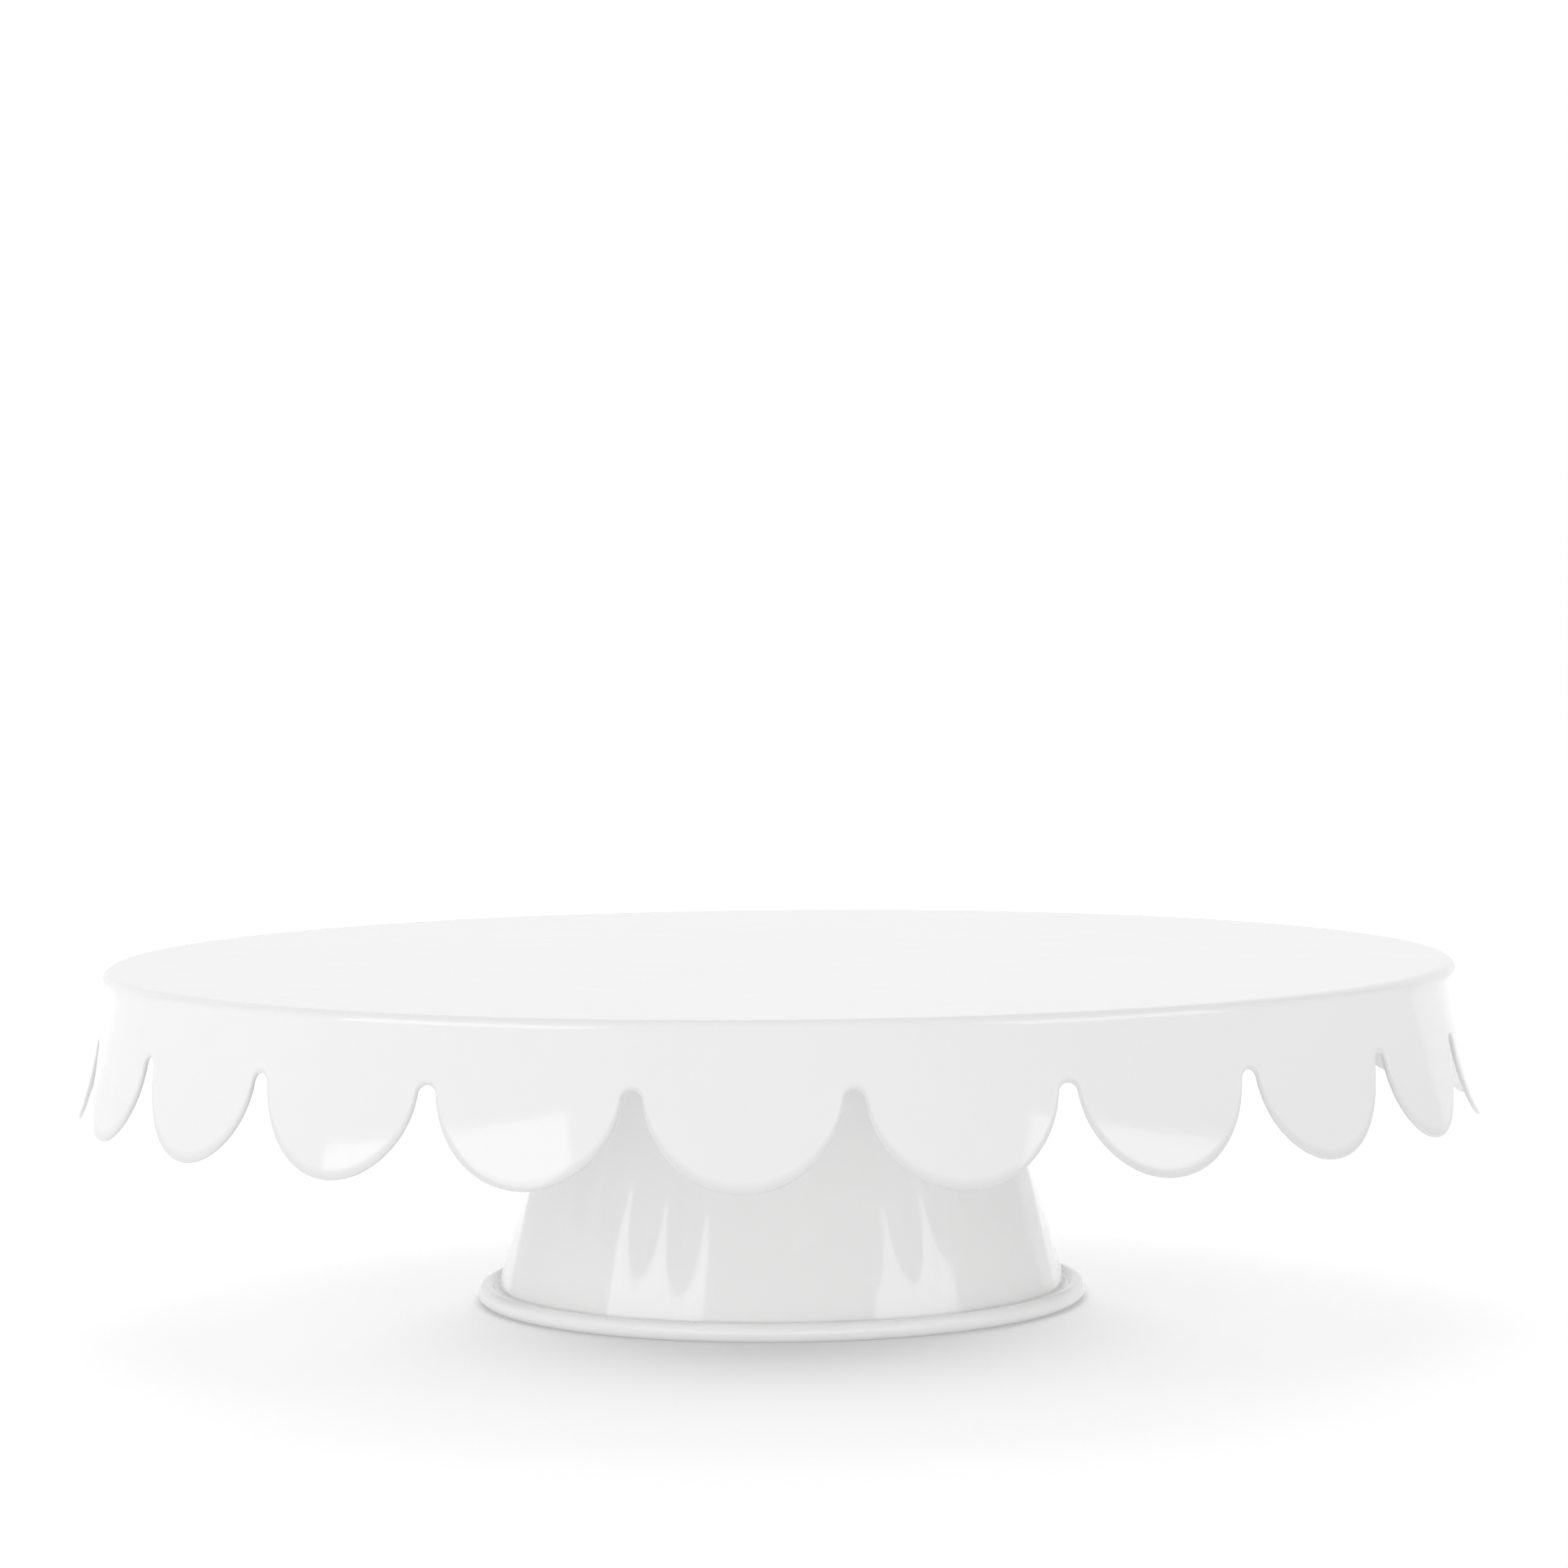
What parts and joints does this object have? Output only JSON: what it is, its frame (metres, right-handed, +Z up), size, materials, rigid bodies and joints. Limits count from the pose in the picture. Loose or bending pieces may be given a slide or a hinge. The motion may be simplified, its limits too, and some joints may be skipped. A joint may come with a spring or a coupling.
{
  "type": "cake stand",
  "caption": "Low round cake stand: flat enamelled steel plate with a flared scalloped skirt on a cone pedestal with a rolled foot, held from below by a wing nut.",
  "frame": {"origin": "on the ground, under the middle of the foot", "axes": "+Z up through the pedestal; the middle of one lobe of the skirt faces -Y"},
  "size_m": [0.3092, 0.3114, 0.076],
  "materials": {
    "enamel": "glossy white enamel",
    "zinc_steel": "bright zinc plating",
    "silicone": "matte translucent white",
    "red_fibre": "matte vulcanised fibre"
  },
  "bodies": {
    "foot": {"pedestal_shell": "enamel", "bead_wire": "zinc_steel", "plate_gasket": "silicone", "fibre_washer": "red_fibre", "penny_washer": "zinc_steel", "spring_washer": "zinc_steel"},
    "plate": {"scalloped_plate": "enamel", "weld_stud": "zinc_steel"},
    "nut": {"wing_nut": "zinc_steel"}
  },
  "joints": [
    {"name": "wing_nut_turn", "type": "hinge", "parent": "foot", "child": "nut", "pos_m": [0, 0, 0.0645], "axis": [0, 0, -1], "range_deg": [0, 3960]},
    {"name": "plate_lift", "type": "slide", "parent": "foot", "child": "plate", "axis": [0, 0, 1], "range_m": [0, 0.011]}
  ],
  "couplings": [
    {"joint": "wing_nut_turn", "follows": "plate_lift", "rad_per_m": 6283.2}
  ]
}
